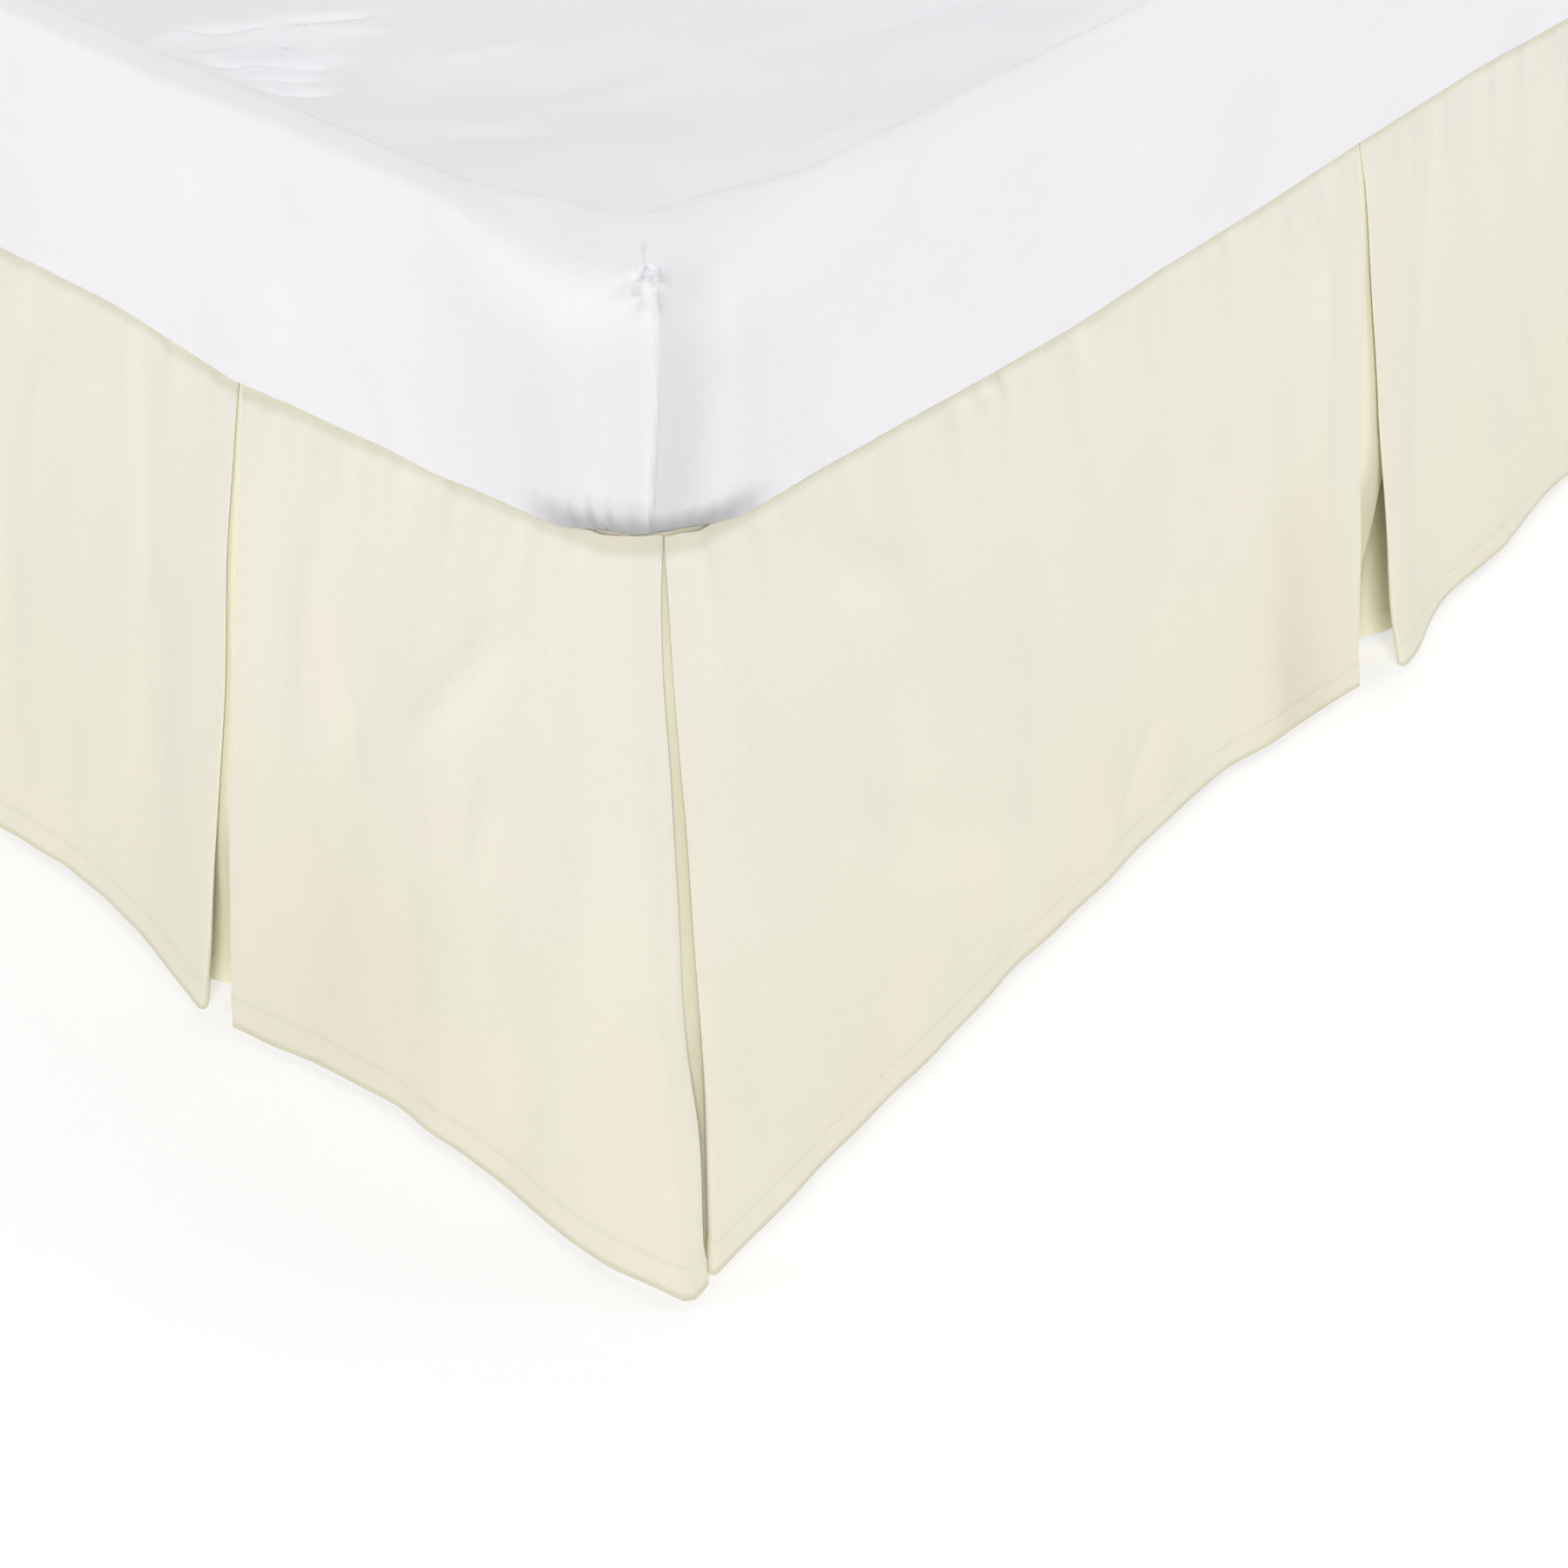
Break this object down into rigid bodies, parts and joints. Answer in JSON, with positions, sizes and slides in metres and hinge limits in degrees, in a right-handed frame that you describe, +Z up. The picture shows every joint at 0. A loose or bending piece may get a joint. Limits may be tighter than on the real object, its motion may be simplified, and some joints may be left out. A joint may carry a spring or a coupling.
{
  "type": "bed skirt on a bed base and mattress",
  "caption": "Tailored cream bed skirt with inverted box pleats, hanging to the floor from under a mattress in a white fitted sheet, on a plain bed base.",
  "frame": {"origin": "on the floor, under the middle of the bed with its foot's flared hem", "axes": "+X from the foot of the bed to its head, +Y to the far side, +Z up"},
  "size_m": [2.1141, 1.0671, 0.5748],
  "materials": {
    "cream_cloth": "plain-weave cotton, matt",
    "deck_cloth": "plain-weave lining cotton, matt",
    "white_cloth": "smooth woven cotton, matt",
    "ticking": "mattress ticking, matt",
    "base_fabric": "woven upholstery, matt",
    "foot_plastic": "moulded, matt"
  },
  "bodies": {
    "root": {"deck": "deck_cloth", "drop_foot": "cream_cloth", "drop_near_side": "cream_cloth", "drop_far_side": "cream_cloth", "underlay_near_corner": "cream_cloth", "underlay_far_corner": "cream_cloth", "mattress": "ticking", "fitted_sheet": "white_cloth", "bed_base": "base_fabric", "base_foot_1": "foot_plastic", "base_foot_2": "foot_plastic", "base_foot_3": "foot_plastic", "base_foot_4": "foot_plastic", "base_foot_5": "foot_plastic", "base_foot_6": "foot_plastic"}
  },
  "joints": []
}
